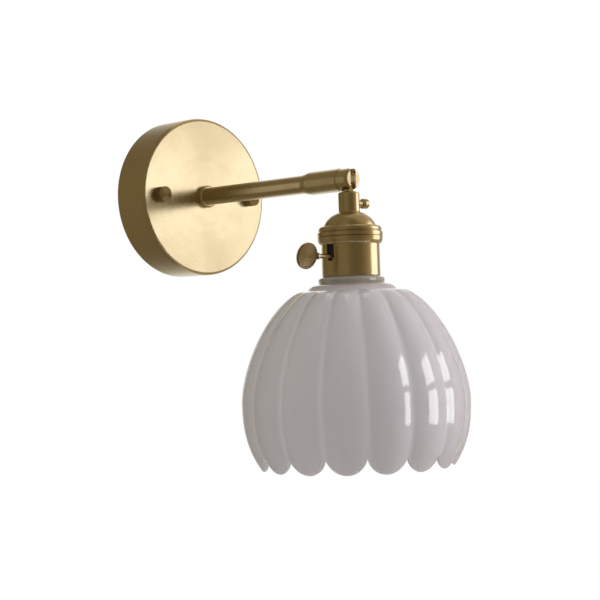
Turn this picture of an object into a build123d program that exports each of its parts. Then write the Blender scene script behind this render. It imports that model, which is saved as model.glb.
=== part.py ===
from build123d import *
import os
from math import cos, pi, radians, sin, sqrt

# Glass wall lamp: brass canopy and arm, slotted swivel, keyed screw socket, fluted glass shade.
# Millimetres. The wall is the plane y = 0, the room is on the -Y side and +Z is up.
# The origin is the centre of the canopy's wall face.

# Fits and broken edges
slip = 0.05             # radial play of pieces that slide or turn in each other
tip_gap = 0.1           # play at the end of a blind hole or in front of a screw tip
edge_break = 0.4

# Canopy and the bar behind it
canopy_d = 113.8
canopy_depth = 29.7
canopy_wall = 1.2
canopy_edge_r = 2.2
stud_inset = 14.8       # from the canopy's rim
stud_d = 4.0
stud_hole_play = 0.3
stud_head_d = 8.0
stud_head_t = 2.6
nut_flats = 7.0
nut_t = 3.2
bar_width = 16.0
bar_t = 2.0
bar_end_past_stud = 7.0
bar_end_round = 4.8
bar_rise = 4.0          # how far the bar's ends stand off the wall
bar_bend_in = 6.0       # from a stud to the top of the bend
bar_bend_run = 3.0
wall_slot_length = 14.0
wall_slot_width = 4.6
wall_slot_to_bend = 1.2
ear_width = 18.0
ear_height = 20.0       # above the bar
ear_round = 3.0
earth_screw_out = 11.0  # from the bar's middle

# Thumb nuts on the canopy
thumb_nut_d = 10.8
thumb_nut_length = 7.0
thumb_nut_dome = 0.9
thumb_nut_bore_depth = 4.6
flutes_per_nut = 20
flute_r = 0.55
flute_sink = 0.3
flute_end_gap = 0.5

# Terminal block on the bar's ear
block_width = 17.0
block_height = 14.0
block_depth = 12.0
block_base_t = 4.0
block_base_round = 2.0
block_top_gap = 2.0     # from the ear's top edge
pole_spacing = 10.4
pole_width = 6.4
pole_round = 1.9
wire_hole_d = 3.0
wire_hole_depth = 5.0
wire_hole_height = 6.2  # above the block's seat
clamp_hole_d = 3.4
clamp_hole_inset = 3.2
small_screw_d = 3.0
small_head_d = 5.6
block_screw_head_d = 3.4
small_head_t = 1.8

# Arm
arm_d = 12.5
arm_wall = 1.25
arm_length = 114.7      # from the canopy's face to the tube's end inside the sleeve
nipple_wall = 1.2
nipple_inside_canopy = 8.0
nipple_in_arm = 22.0
arm_nut_flats = 14.0
arm_nut_t = 3.0
washer_t = 0.8
washer_d = 18.0
washer_teeth = 14
tooth_gap = 1.2
tooth_length = 1.5
collar_d = 16.0
collar_t = 4.5
collar_round = 1.6

# Swivel at the arm's end
sleeve_d = 15.5
sleeve_length = 43.8
sleeve_overlap = 9.9    # how far the sleeve covers the tube
sleeve_taper = 5.7
sleeve_edge_t = 0.35
cheek_d = 14.5
cheek_length = 9.5      # turned-down end of the sleeve
cheek_round = 2.0
pivot_to_end = 4.5
pivot_d = 3.5
pivot_head_d = 5.8
pivot_head_t = 2.0
pivot_land = 2.1        # cheek left under the screw's head
pivot_blind_wall = 1.45  # cheek left beyond the screw's tip
fork_slot = 5.0
fork_slot_back = 7.0    # slot floor behind the pivot axis
slot_plug_t = 1.0       # solid end wall behind the slot
friction_washer_t = 0.5
eye_r = 4.2
tongue_side_play = 0.05
waist_width = 5.0
stem_above_neck = 0.4
stem_length = 13.0
stem_bore_d = 6.4
stem_bore_cover = 2.2   # solid above the stem's bore
wire_notch_width = 4.6
wire_notch_length = 6.5
head_tilt = 0.4         # the shade leans this many degrees into the room

# Socket cap, from the neck down
neck_clearance = 1.45   # between the cheeks and the neck's top
neck_d = 14.0
neck_wall = 2.0
neck_round = 1.4
neck_length = 12.9
cap_wall = 1.0
dome_foot = 0.6
dome_height = 9.6
dome_bulge = 1.6
dome_inset = 4.2        # dome's edge inside the band
dome_step = 1.4         # flat step between the dome and the bead
bead_height = 3.7
bead_bulge = 1.2
bead_inset = 1.2        # bead's foot inside the band
band_height = 5.3
band_over_shell = 2.4
band_round = 0.45
band_groove = 3.1       # groove below the bead
band_groove_depth = 0.6
band_groove_half = 0.35
lip_drop = 2.9
lip_bulge = 0.36
lip_height = 1.6
lip_t = 0.7

# Socket shell and what it holds
shell_d = 38.2
shell_wall = 0.8
shell_length = 28.15
shell_in_cap = 6.9
shell_edge_r = 0.7
key_below_cap = 8.0
key_slot = 6.2
liner_t = 0.8
liner_play = 0.1
liner_drop = 2.0        # liner's top below the shell's top
body_play = 0.15
body_drop = 8.2         # body's top below the shell's top
skirt_wall = 2.05
skirt_length = 23.2
screw_bore_d = 26.8
screw_wall = 0.4
screw_length = 23.0
screw_setback = 1.0
screw_floor_land = 1.0
contact_recess_d = 16.0
contact_recess_depth = 3.0
contact_width = 5.0
contact_t = 0.5
contact_length = 12.0
contact_lift = 2.6
terminal_out = 10.2     # terminals from the socket's axis, towards wall and room
terminal_wire_x = 4.6
terminal_screw_x = 2.3
terminal_screw_length = 5.0

# Lock screw in the cap's neck
lock_below_top = 7.1
lock_d = 4.0
lock_shank_show = 5.0
lock_head_d = 6.8
lock_head_t = 5.0
lock_head_round = 1.2

# Switch key
key_stem_d = 3.0
key_collar_d = 4.4
key_collar_t = 1.4
key_reach = 21.2        # disc centre from the shell's face
key_disc_d = 17.2
key_disc_t = 2.2
key_disc_round = 0.65
key_disc_rim = 1.3
key_disc_sink = 0.35
key_heel = 0.6
key_turned = 14.0       # the key rests with its room face this many degrees downwards
rotor_d = 9.6
rotor_length = 11.0
rotor_notch = 1.8
rotor_end_land = 2.0
cavity_play = 0.3

# Glass shade
shade_petals = 16
shade_turn = 7.1        # first petal's centre from the lock screw's side, in degrees
glass_wall = 2.8
gasket_t = 0.5
gasket_width = 2.4
glass_hole_play = 0.5
glass_neck_land = 5.4   # flat ring of glass round the hole
glass_neck_round = 1.6
glass_neck_height = 4.6
flare_height = 3.9
flare_width = 7.9
flare_bulge = 1.5
petal_step = 3.8
shade_d = 150.4
shade_height = 124.3
widest_above_hem = 44.2
hem_in = 11.8           # hem's crest inside the widest crest
upper_bulge = 1.584
upper_turn = 1.539
lower_turn = 2.618
flute_at_top = 1.6
flute_at_hem = 3.2
flute_fade = 26.0       # depth over which the flutes reach their full size
scallop_depth = 8.8
form_overlap = 1.0      # how far the forms of the glass run into each other
ring_width = 2.4
ring_height = 6.0
ring_notch = 3.0
ring_notch_depth = 1.5

# Leads
lead_d = 1.8
lead_x = 1.3
lead_sag = 1.9          # leads lie this far below the arm's axis
lead_entry_drop = 7.0   # corner of the route below the block
lead_run_in = 9.5
block_bend_r = 4.5
arm_bend_r = 8.0
head_bend_r = 7.0
arm_lead_short = 4.3    # the lead ends this far behind the swivel's slot
head_lead_x = 1.1
head_lead_y = -1.6
head_lead_straight = 2.5
head_lead_drop = 6.0

# Sizes worked out from those above, along the arm
canopy_r = canopy_d / 2
canopy_inner_face = canopy_depth - canopy_wall
stud_x = canopy_r - stud_inset
stud_r = stud_d / 2
bar_front = bar_t + bar_rise
bend_foot_x = stud_x - bar_bend_in - bar_bend_run
wall_slot_x = bend_foot_x - wall_slot_to_bend - wall_slot_length / 2
block_y = bar_width / 2 + ear_height - block_top_gap - block_height / 2
arm_bore_r = arm_d / 2 - arm_wall
nipple_r = arm_bore_r - slip
nipple_bore_r = nipple_r - nipple_wall
arm_end = canopy_depth + arm_length
sleeve_start = arm_end - sleeve_overlap
sleeve_end = sleeve_start + sleeve_length
pivot_out = sleeve_end - pivot_to_end
slot_floor = pivot_out - fork_slot_back
pivot_r = pivot_d / 2
pivot_head_seat = fork_slot / 2 + pivot_land
pivot_tip = cheek_d / 2 - pivot_blind_wall
tongue_t = fork_slot - 2 * friction_washer_t - 2 * tongue_side_play

# Depths below the pivot axis and radii of the socket
neck_r = neck_d / 2
neck_bore_r = neck_r - neck_wall
neck_top = cheek_d / 2 + neck_clearance
neck_bottom = neck_top + neck_length
stem_r = neck_bore_r - slip
stem_top = neck_top - stem_above_neck
stem_end = stem_top + stem_length
lock_depth = neck_top + lock_below_top
lock_head_start = neck_r + lock_shank_show
shell_r = shell_d / 2
shell_bore_r = shell_r - shell_wall
band_r = shell_r + band_over_shell
bead_end_r = band_r - bead_inset
dome_edge_r = band_r - dome_inset
dome_bottom = neck_bottom + dome_height
bead_bottom = dome_bottom + bead_height
band_groove_at = bead_bottom + band_groove
band_bottom = bead_bottom + band_height
lip_bottom = band_bottom + lip_drop
shell_top = lip_bottom - shell_in_cap
shell_bottom = shell_top + shell_length
key_depth = lip_bottom + key_below_cap
liner_r = shell_bore_r - liner_play
body_r = liner_r - liner_t - body_play
body_top = shell_top + body_drop
body_seat = shell_bottom - shell_wall
thread_r = screw_bore_d / 2 + screw_wall
skirt_r = thread_r + slip + skirt_wall
skirt_bottom = shell_bottom + skirt_length
lip_inner_r = skirt_r + slip
screw_floor = skirt_bottom - screw_setback - screw_length
contact_floor = screw_floor - contact_recess_depth
terminal_end = body_top + terminal_screw_length + tip_gap
terminal_places = [(terminal_wire_x, terminal_out), (-terminal_wire_x, -terminal_out)]

# Depths and radii of the glass
glass_top = shell_bottom + gasket_t
glass_seat = glass_top + glass_wall
glass_hole_r = skirt_r + glass_hole_play
glass_neck_r = glass_hole_r + glass_neck_land
flare_start = glass_top + glass_neck_height
shoulder = flare_start + flare_height
shoulder_r = glass_neck_r + flare_width
petal_top_r = shoulder_r + petal_step
hem = glass_top + shade_height
widest = hem - widest_above_hem
hem_r = shade_d / 2 - hem_in
half_petal = pi / shade_petals
half_scallop = hem_r * sin(half_petal)
scallop_r = (half_scallop ** 2 + scallop_depth ** 2) / (2 * scallop_depth)

# Places: +Z of a local part points into the room, or down the head from the pivot
INTO_ROOM = Rot(90, 0, 0)
HEAD = Pos(0, -pivot_out, 0) * Rot(180 - head_tilt, 0, 0)
AT_KEY = Pos(0, 0, key_depth) * Rot(0, -90, 0)
TO_RIGHT = Rot(0, 90, 0)


def disc(radius, bottom, top):
    return Pos(0, 0, (bottom + top) / 2) * Cylinder(radius, top - bottom)


def ring(inner, outer, bottom, top):
    return disc(outer, bottom, top) - disc(inner, bottom - 1, top + 1)


def turned(*outline):
    return revolve(Plane.XZ * make_face(outline), Axis.Z)


def hexagon(flats, bottom, top):
    sides = RegularPolygon(flats / 2, 6, major_radius=False)
    return extrude(Pos(0, 0, bottom) * sides, top - bottom)


def highest_edges(solid):
    return solid.edges().group_by(Axis.Z)[-1]


def lowest_edges(solid):
    return solid.edges().group_by(Axis.Z)[0]


def slotted_screw(shank_d, shank_length, head_d, head_t):
    # the head's underside is at 0, the shank goes down and the head up
    head = disc(head_d / 2, 0, head_t)
    head = fillet(highest_edges(head), head_t * 0.35)
    slot = Pos(0, 0, head_t) * Box(head_d + 1, head_t * 0.4, head_t)
    return head + disc(shank_d / 2, -shank_length, 0) - slot


def wall_bracket():
    rise = [(bend_foot_x, 0), (bend_foot_x + bar_bend_run, bar_rise), (stud_x + bar_end_past_stud, bar_rise)]
    back = [(-x, z) for x, z in reversed(rise)] + rise
    front = [(x, z + bar_t) for x, z in reversed(back)]
    bar = extrude(Plane.XZ * make_face(Polyline(*back, *front, close=True)), bar_width / 2, both=True)
    ends = bar.edges().filter_by(Axis.Z).group_by(Axis.X)
    bar = fillet(ends[0] + ends[-1], bar_end_round)
    ear_length = bar_width / 2 + ear_height
    ear = Pos(0, ear_length / 2, bar_t / 2) * Box(ear_width, ear_length, bar_t)
    ear = fillet(ear.edges().filter_by(Axis.Z).group_by(Axis.Y)[-1], ear_round)
    bracket = bar + ear
    slot = extrude(SlotOverall(wall_slot_length, wall_slot_width), bar_front, both=True)
    for side in (-1, 1):
        bracket -= Pos(side * wall_slot_x, 0, 0) * slot
        bracket -= Pos(side * stud_x, 0, 0) * disc(stud_r + slip, 0, bar_front + 1)
    bracket -= Pos(-earth_screw_out, 0, 0) * disc(stud_r + slip, -1, bar_front)
    bracket -= Pos(0, block_y, 0) * disc(small_screw_d / 2 + slip, -1, bar_front)
    return INTO_ROOM * bracket


def bracket_stud(side):
    stud_length = canopy_depth + thumb_nut_bore_depth - tip_gap - bar_rise
    stud = slotted_screw(stud_d, stud_length, stud_head_d, stud_head_t)
    return INTO_ROOM * Pos(side * stud_x, 0, bar_rise) * Rot(180, 0, 0) * stud


def stud_nut(side):
    nut = hexagon(nut_flats, bar_front, bar_front + nut_t) - disc(stud_r + slip, 0, canopy_depth)
    return INTO_ROOM * Pos(side * stud_x, 0, 0) * nut


def earth_screw():
    screw = slotted_screw(stud_d, bar_t, stud_head_d, stud_head_t)
    return INTO_ROOM * Pos(-earth_screw_out, 0, bar_t) * screw


def terminal_block():
    base = Box(block_width, block_height, block_base_t)
    base = fillet(base.edges().filter_by(Axis.Z), block_base_round)
    block = Pos(0, 0, block_base_t / 2) * base
    wire_hole = Rot(90, 0, 0) * disc(wire_hole_d / 2, -wire_hole_depth, wire_hole_depth)
    clamp_hole = disc(clamp_hole_d / 2, wire_hole_height, block_depth + 1)
    for side in (-1, 1):
        pole = Box(pole_width, block_height, block_depth - form_overlap)
        pole = fillet(pole.edges().filter_by(Axis.Y).group_by(Axis.Z)[-1], pole_round)
        block += Pos(side * pole_spacing / 2, 0, (block_depth + form_overlap) / 2) * pole
    for side in (-1, 1):
        for end in (-1, 1):
            pole_x = side * pole_spacing / 2
            block -= Pos(pole_x, end * block_height / 2, wire_hole_height) * wire_hole
            block -= Pos(pole_x, end * (block_height / 2 - clamp_hole_inset), 0) * clamp_hole
    block -= disc(small_screw_d / 2 + slip, -1, block_depth)
    return INTO_ROOM * Pos(0, block_y, bar_t) * block


def terminal_block_screw():
    screw = slotted_screw(small_screw_d, block_base_t + bar_t, block_screw_head_d, small_head_t)
    return INTO_ROOM * Pos(0, block_y, bar_t + block_base_t) * screw


def canopy():
    cup = disc(canopy_r, 0, canopy_depth)
    cup = fillet(highest_edges(cup), canopy_edge_r)
    hollow = disc(canopy_r - canopy_wall, -1, canopy_inner_face)
    cup -= fillet(highest_edges(hollow), canopy_edge_r - 0.9 * canopy_wall)
    cup -= disc(nipple_r + slip, 0, canopy_depth + 1)
    for side in (-1, 1):
        cup -= Pos(side * stud_x, 0, 0) * disc(stud_r + stud_hole_play, 0, canopy_depth + 1)
    return INTO_ROOM * cup


def thumb_nut(side):
    # a fluted round nut with a low ball-shaped end, bored from its seat
    radius = thumb_nut_d / 2
    rim = canopy_depth + thumb_nut_length - thumb_nut_dome
    nut = disc(radius, canopy_depth, rim + slip)
    nut = chamfer(lowest_edges(nut), edge_break)
    ball_r = (radius ** 2 + thumb_nut_dome ** 2) / (2 * thumb_nut_dome)
    ball = Pos(0, 0, rim + thumb_nut_dome - ball_r) * Sphere(ball_r)
    nut += ball & disc(radius, rim, rim + 2 * thumb_nut_dome)
    flute_start = canopy_depth + edge_break + flute_end_gap
    flute = Pos(radius + flute_r - flute_sink, 0, 0) * disc(flute_r, flute_start, rim - flute_end_gap)
    for turn in range(flutes_per_nut):
        nut -= Rot(0, 0, (turn + 0.5) * 360 / flutes_per_nut) * flute
    nut -= disc(stud_r + slip, 0, canopy_depth + thumb_nut_bore_depth)
    return INTO_ROOM * Pos(side * stud_x, 0, 0) * nut


def arm_nipple():
    start = canopy_inner_face - nipple_inside_canopy
    return INTO_ROOM * ring(nipple_bore_r, nipple_r, start, canopy_depth + nipple_in_arm)


def arm_washer():
    washer = ring(nipple_r + slip, washer_d / 2, canopy_inner_face - washer_t, canopy_inner_face)
    gap = Pos(washer_d / 2, 0, canopy_inner_face) * Box(2 * tooth_length, tooth_gap, 3 * washer_t)
    for turn in range(washer_teeth):
        washer -= Rot(0, 0, (turn + 0.5) * 360 / washer_teeth) * gap
    return INTO_ROOM * washer


def arm_lock_nut():
    front = canopy_inner_face - washer_t
    nut = hexagon(arm_nut_flats, front - arm_nut_t, front) - disc(nipple_r + slip, 0, canopy_depth)
    return INTO_ROOM * nut


def arm_collar():
    collar = disc(collar_d / 2, canopy_depth, canopy_depth + collar_t)
    collar = fillet(highest_edges(collar), collar_round)
    return INTO_ROOM * (collar - disc(arm_d / 2 + slip, 0, 2 * canopy_depth))


def arm_tube():
    return INTO_ROOM * ring(arm_bore_r, arm_d / 2, canopy_depth, arm_end)


def knuckle_sleeve():
    # a tapered sleeve over the tube that ends in two rounded cheeks
    sleeve_r = sleeve_d / 2
    cheek_r = cheek_d / 2
    joint_r = arm_d / 2 + slip
    cheek_start = sleeve_end - cheek_length
    outline = [
        Polyline(
            (0, sleeve_end),
            (0, slot_floor - slot_plug_t),
            (arm_bore_r, slot_floor - slot_plug_t),
            (arm_bore_r, arm_end),
            (joint_r, arm_end),
            (joint_r, sleeve_start),
            (joint_r + sleeve_edge_t, sleeve_start),
            (sleeve_r, sleeve_start + sleeve_taper),
            (sleeve_r, cheek_start - (sleeve_r - cheek_r)),
            (cheek_r, cheek_start),
            (cheek_r, sleeve_end),
            (0, sleeve_end),
        ),
    ]
    sleeve = turned(*outline)
    sleeve = fillet(highest_edges(sleeve), cheek_round)
    slot_length = sleeve_end - slot_floor + 1
    sleeve -= Pos(0, 0, slot_floor + slot_length / 2) * Box(fork_slot, sleeve_d + 1, slot_length)
    sleeve -= disc(fork_slot / 2, slot_floor - 2 * slot_plug_t, sleeve_end)
    at_pivot = Pos(0, 0, pivot_out) * TO_RIGHT
    sleeve -= at_pivot * disc(pivot_r + slip, -pivot_tip - tip_gap, sleeve_d)
    sleeve -= at_pivot * disc(pivot_head_d / 2 + slip, pivot_head_seat, sleeve_d)
    return INTO_ROOM * sleeve


def pivot_screw():
    screw = slotted_screw(pivot_d, pivot_head_seat + pivot_tip, pivot_head_d, pivot_head_t)
    return INTO_ROOM * Pos(pivot_head_seat, 0, pivot_out) * TO_RIGHT * screw


def pivot_washer(side):
    washer = ring(pivot_r + slip, eye_r, -friction_washer_t / 2, friction_washer_t / 2)
    middle = side * (fork_slot - friction_washer_t) / 2
    return INTO_ROOM * Pos(middle, 0, pivot_out) * TO_RIGHT * washer


def knuckle_tongue():
    # an eye between the cheeks, on a waist and a hollow stem that fills the cap's neck
    eye = TO_RIGHT * disc(eye_r, -tongue_t / 2, tongue_t / 2)
    waist = Pos(0, 0, stem_top / 2) * Box(tongue_t, waist_width, stem_top)
    stem = disc(stem_r, stem_top, stem_end)
    stem = chamfer(lowest_edges(stem), edge_break)
    tongue = eye + waist + stem
    tongue -= disc(stem_bore_d / 2, stem_top + stem_bore_cover, stem_end + 1)
    notch_floor_y = waist_width / 2
    notch = Box(wire_notch_width, stem_r, wire_notch_length)
    notch_middle = Pos(0, -notch_floor_y - stem_r / 2, stem_top + wire_notch_length / 2)
    tongue -= notch_middle * notch
    tongue -= TO_RIGHT * disc(pivot_r + slip, -fork_slot, fork_slot)
    return HEAD * tongue


def socket_cap():
    # spun brass: neck, dome, bead and grooved band, open below over the shell
    dome_start_r = neck_r + dome_foot
    dome_start = neck_bottom + dome_foot
    bead_start_r = dome_edge_r + dome_step
    band_foot_r = band_r - 0.2
    lip_outer_r = shell_r + slip + lip_t
    lip_top = lip_bottom - lip_height
    band_inner_r = band_r - band_groove_depth - 0.7 * cap_wall
    outside = [
        Polyline((neck_bore_r, neck_top), (neck_r, neck_top), (neck_r, neck_bottom)),
        Line((neck_r, neck_bottom), (dome_start_r, dome_start)),
        SagittaArc((dome_start_r, dome_start), (dome_edge_r, dome_bottom), -dome_bulge),
        Line((dome_edge_r, dome_bottom), (bead_start_r, dome_bottom)),
        SagittaArc((bead_start_r, dome_bottom), (bead_end_r, bead_bottom), -bead_bulge),
        Polyline(
            (bead_end_r, bead_bottom),
            (band_r, bead_bottom + band_round),
            (band_r, band_groove_at - band_groove_half),
            (band_r - band_groove_depth, band_groove_at),
            (band_r, band_groove_at + band_groove_half),
            (band_foot_r, band_bottom),
        ),
        SagittaArc((band_foot_r, band_bottom), (lip_outer_r, lip_bottom), -lip_bulge),
    ]
    inside = [
        Polyline(
            (lip_outer_r, lip_bottom),
            (shell_r + slip, lip_bottom),
            (shell_r + slip, lip_top),
            (band_inner_r, lip_top - cap_wall),
            (band_inner_r, bead_bottom + band_round),
            (bead_end_r - cap_wall, bead_bottom - band_round),
            (bead_start_r - cap_wall * 0.2, dome_bottom + cap_wall),
            (dome_edge_r - cap_wall, dome_bottom + cap_wall),
        ),
        SagittaArc(
            (dome_edge_r - cap_wall, dome_bottom + cap_wall),
            (dome_start_r - cap_wall * 0.3, dome_start + cap_wall),
            dome_bulge,
        ),
        Polyline(
            (dome_start_r - cap_wall * 0.3, dome_start + cap_wall),
            (neck_bore_r, dome_start + cap_wall),
            (neck_bore_r, neck_top),
        ),
    ]
    cap = turned(*outside, *inside)
    cap = fillet(lowest_edges(cap).sort_by(SortBy.LENGTH)[-1], neck_round)
    cap -= Pos(0, 0, lock_depth) * TO_RIGHT * disc(lock_d / 2 + slip, 0, neck_d)
    return HEAD * cap


def neck_lock_screw():
    shank = disc(lock_d / 2, stem_r + tip_gap, lock_head_start)
    shank = chamfer(lowest_edges(shank), edge_break)
    head = disc(lock_head_d / 2, lock_head_start, lock_head_start + lock_head_t)
    head = fillet(highest_edges(head) + lowest_edges(head), lock_head_round)
    return HEAD * Pos(0, 0, lock_depth) * TO_RIGHT * (shank + head)


def key_slot_cut(width):
    # a slot towards the key's side, round at the key's axis and open towards the cap
    start = shell_bore_r / 2
    reach = shell_r + 1 - start
    length = key_depth - shell_top + 1
    box = Pos(-start - reach / 2, 0, key_depth - length / 2) * Box(reach, width, length)
    return box + AT_KEY * disc(width / 2, start, start + reach)


def socket_shell():
    shell = disc(shell_r, shell_top, shell_bottom)
    shell = fillet(highest_edges(shell), shell_edge_r)
    shell -= disc(shell_bore_r, shell_top - 1, body_seat)
    shell -= disc(lip_inner_r, shell_top, shell_bottom + 1)
    return HEAD * (shell - key_slot_cut(key_slot))


def shell_liner():
    liner = ring(liner_r - liner_t, liner_r, shell_top + liner_drop, body_seat)
    return HEAD * (liner - key_slot_cut(key_stem_d + 2 * cavity_play))


def lampholder_body():
    body = disc(body_r, body_top, body_seat) + disc(skirt_r, body_seat, skirt_bottom)
    body -= disc(thread_r + slip, screw_floor, skirt_bottom + 1)
    body -= disc(contact_recess_d / 2, contact_floor, skirt_bottom)
    cavity_half = rotor_length / 2 + cavity_play
    body -= AT_KEY * disc(rotor_d / 2 + cavity_play, -cavity_half, cavity_half)
    body -= AT_KEY * disc(key_stem_d / 2 + slip, 0, shell_r)
    for x, y in terminal_places:
        side = 1 if x > 0 else -1
        body -= Pos(x, y, 0) * disc(wire_hole_d / 2, body_top - 1, body_top + wire_hole_depth)
        screw_hole = disc(small_screw_d / 2 + slip, body_top - 1, terminal_end)
        body -= Pos(-side * terminal_screw_x, y, 0) * screw_hole
    return HEAD * body


def terminal_screw(place):
    x, y = place
    side = 1 if x > 0 else -1
    screw = slotted_screw(small_screw_d, terminal_screw_length, small_head_d, small_head_t)
    return HEAD * Pos(-side * terminal_screw_x, y, body_top) * Rot(180, 0, 0) * screw


def screw_shell():
    sleeve = ring(screw_bore_d / 2, thread_r, screw_floor, screw_floor + screw_length)
    floor_r = contact_recess_d / 2 - screw_floor_land
    return HEAD * (sleeve + ring(floor_r, thread_r, screw_floor, screw_floor + screw_wall))


def centre_contact():
    # a bent leaf: its foot lies in the recess and its nose rises to meet the bulb
    half = contact_length / 2
    back = [
        (-half, contact_floor),
        (-0.3 * half, contact_floor),
        (0.5 * half, contact_floor + contact_lift),
        (0.8 * half, contact_floor + 0.7 * contact_lift),
    ]
    front = [(x, z + contact_t) for x, z in reversed(back)]
    leaf = Plane.XZ * make_face(Polyline(*back, *front, close=True))
    return HEAD * extrude(leaf, contact_width / 2, both=True)


def switch_rotor():
    rotor = disc(rotor_d / 2, -rotor_length / 2, rotor_length / 2)
    notch = Box(2 * rotor_notch, rotor_notch, rotor_length - 2 * rotor_end_land)
    for quarter in range(4):
        rotor -= Rot(0, 0, quarter * 90) * Pos(rotor_d / 2, 0, 0) * notch
    return HEAD * AT_KEY * rotor


def key_stem():
    end = shell_r + key_reach - key_disc_d / 2
    stem = disc(key_stem_d / 2, rotor_length / 2, end)
    return HEAD * AT_KEY * (stem + disc(key_collar_d / 2, end - key_collar_t, end))


def key_disc():
    # a coin in the plane of the stem, with a shallow sunk face on both sides
    radius = key_disc_d / 2
    coin = disc(radius, -key_disc_t / 2, key_disc_t / 2)
    coin = fillet(coin.edges().filter_by(GeomType.CIRCLE), key_disc_round)
    sink = disc(radius - key_disc_rim, key_disc_t / 2 - key_disc_sink, key_disc_t)
    coin = Rot(90, 0, 0) * (coin - sink - Rot(180, 0, 0) * sink)
    coin -= Pos(radius, 0, 0) * Box(key_heel, key_disc_t + 1, key_collar_d)
    heel = TO_RIGHT * disc(key_disc_t / 2, radius - key_heel, radius)
    return HEAD * Pos(-shell_r - key_reach, 0, key_depth) * Rot(key_turned, 0, 0) * (coin + heel)


def shade_gasket():
    return HEAD * ring(lip_inner_r, glass_hole_r + gasket_width, shell_bottom, glass_top)


def crest_radius(depth):
    # radius over the petals' crests at a depth below the pivot
    if depth < widest:
        rise = (widest - depth) / (widest - shoulder)
        share = (1 - rise ** upper_bulge) ** (1 / upper_turn)
        return petal_top_r + (shade_d / 2 - petal_top_r) * share
    fall = (depth - widest) / (hem - widest)
    return shade_d / 2 - hem_in * fall ** lower_turn


def flute_depth(depth):
    grown = min(1, (depth - shoulder) / flute_fade)
    return flute_at_top + (flute_at_hem - flute_at_top) * grown


def inset(depth, wall):
    # the crest line's point moved square to the line by the wall: its depth and radius
    step = 0.05
    slope = (crest_radius(depth + step) - crest_radius(depth)) / step
    square = sqrt(1 + slope ** 2)
    return depth + wall * slope / square, crest_radius(depth) - wall / square


def fluted_section(depth, crest, groove):
    # one closed outline of petal arcs that meet in sharp grooves
    groove_r = crest - groove
    arcs = []
    for petal in range(shade_petals):
        middle = radians(shade_turn) + 2 * half_petal * petal
        start, end = middle - half_petal, middle + half_petal
        arcs.append(
            ThreePointArc(
                (groove_r * cos(start), groove_r * sin(start)),
                (crest * cos(middle), crest * sin(middle)),
                (groove_r * cos(end), groove_r * sin(end)),
            )
        )
    return Pos(0, 0, depth) * make_face(arcs)


def fluted_body(wall):
    # lofted through sections that lie closer together where the line turns faster
    length = hem + 1.2 * glass_wall - shoulder
    sections = []
    for share in (0, 0.04, 0.11, 0.22, 0.36, 0.52, 0.68, 0.82, 0.92, 1):
        depth = shoulder + length * share
        at, crest = inset(depth, wall)
        sections.append(fluted_section(at, crest, flute_depth(depth)))
    return loft(sections)


def shade_neck(radius, top, bend_start, bend_r, bend_end):
    # the plain round neck above the petals, flaring out to them
    end = bend_end + form_overlap
    bend = SagittaArc((radius, bend_start), (bend_r, bend_end), -flare_bulge)
    below = Polyline((bend_r, bend_end), (bend_r, end), (0, end))
    above = Polyline((0, end), (0, top), (radius, top), (radius, bend_start))
    return turned(bend, below, above)


def petal_window():
    # the space of one petal: a wedge of the circle that ends in a round scallop
    reach = shade_d
    start = glass_top - 1
    corner_x, corner_y = reach * cos(half_petal), reach * sin(half_petal)
    wedge = make_face(Polyline((0, 0), (corner_x, -corner_y), (corner_x, corner_y), close=True))
    wedge = extrude(Pos(0, 0, start) * wedge, hem - start + 1)
    scallop_middle = hem - scallop_r
    strip = Box(reach, 2 * scallop_r, scallop_middle - start)
    strip = Pos(reach / 2, 0, (start + scallop_middle) / 2) * strip
    tip = Pos(0, 0, scallop_middle) * TO_RIGHT * disc(scallop_r, 0, reach)
    return Rot(0, 0, shade_turn) * (wedge & (strip + tip))


def glass_shade():
    inner_end, inner_r = inset(shoulder, glass_wall)
    neck = shade_neck(glass_neck_r, glass_top, flare_start, shoulder_r, shoulder)
    neck = fillet(lowest_edges(neck), glass_neck_round)
    bore_r = glass_neck_r - glass_wall
    hollow = shade_neck(bore_r, glass_seat, flare_start + glass_wall / 3, inner_r - glass_wall / 2, inner_end)
    blank = neck + fluted_body(0) - hollow - fluted_body(glass_wall)
    blank -= disc(glass_hole_r, glass_top - 1, glass_seat + 1)
    petal = blank & petal_window()
    petals = [Rot(0, 0, turn * 360 / shade_petals) * petal for turn in range(shade_petals)]
    return HEAD * petals[0].fuse(*petals[1:])


def shade_ring():
    band = ring(skirt_r + slip, skirt_r + slip + ring_width, glass_seat, glass_seat + ring_height)
    notch = Box(4 * ring_width, ring_notch, 2 * ring_notch_depth)
    for side in (-1, 1):
        band -= Pos(side * (skirt_r + ring_width), 0, glass_seat + ring_height) * notch
    return HEAD * band


def lead(points, radii):
    path = FilletPolyline(*points, radius=radii)
    section = Plane(origin=path @ 0, z_dir=path % 0) * Circle(lead_d / 2)
    return sweep(section, path)


def arm_lead(side):
    # from the block's lower hole, through the nipple and the tube, to the swivel
    block_bottom = block_y - block_height / 2
    wire_out = bar_t + wire_hole_height
    points = [
        (side * pole_spacing / 2, block_bottom + wire_hole_depth - tip_gap, wire_out),
        (side * pole_spacing / 2, block_bottom - lead_entry_drop, wire_out),
        (side * lead_x, -lead_sag, wire_out + lead_run_in),
        (side * lead_x, -lead_sag, slot_floor - arm_lead_short),
    ]
    return INTO_ROOM * lead(points, [block_bend_r, arm_bend_r])


def head_lead(place):
    # from the tongue's wire notch down to a terminal
    x, y = place
    side = 1 if x > 0 else -1
    points = [
        (side * head_lead_x, head_lead_y, stem_top + stem_bore_cover + 0.6),
        (side * head_lead_x, head_lead_y, neck_bottom + head_lead_straight),
        (x, y, body_top - head_lead_drop),
        (x, y, body_top + wire_hole_depth - tip_gap),
    ]
    return HEAD * lead(points, [head_bend_r, head_bend_r])


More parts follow.
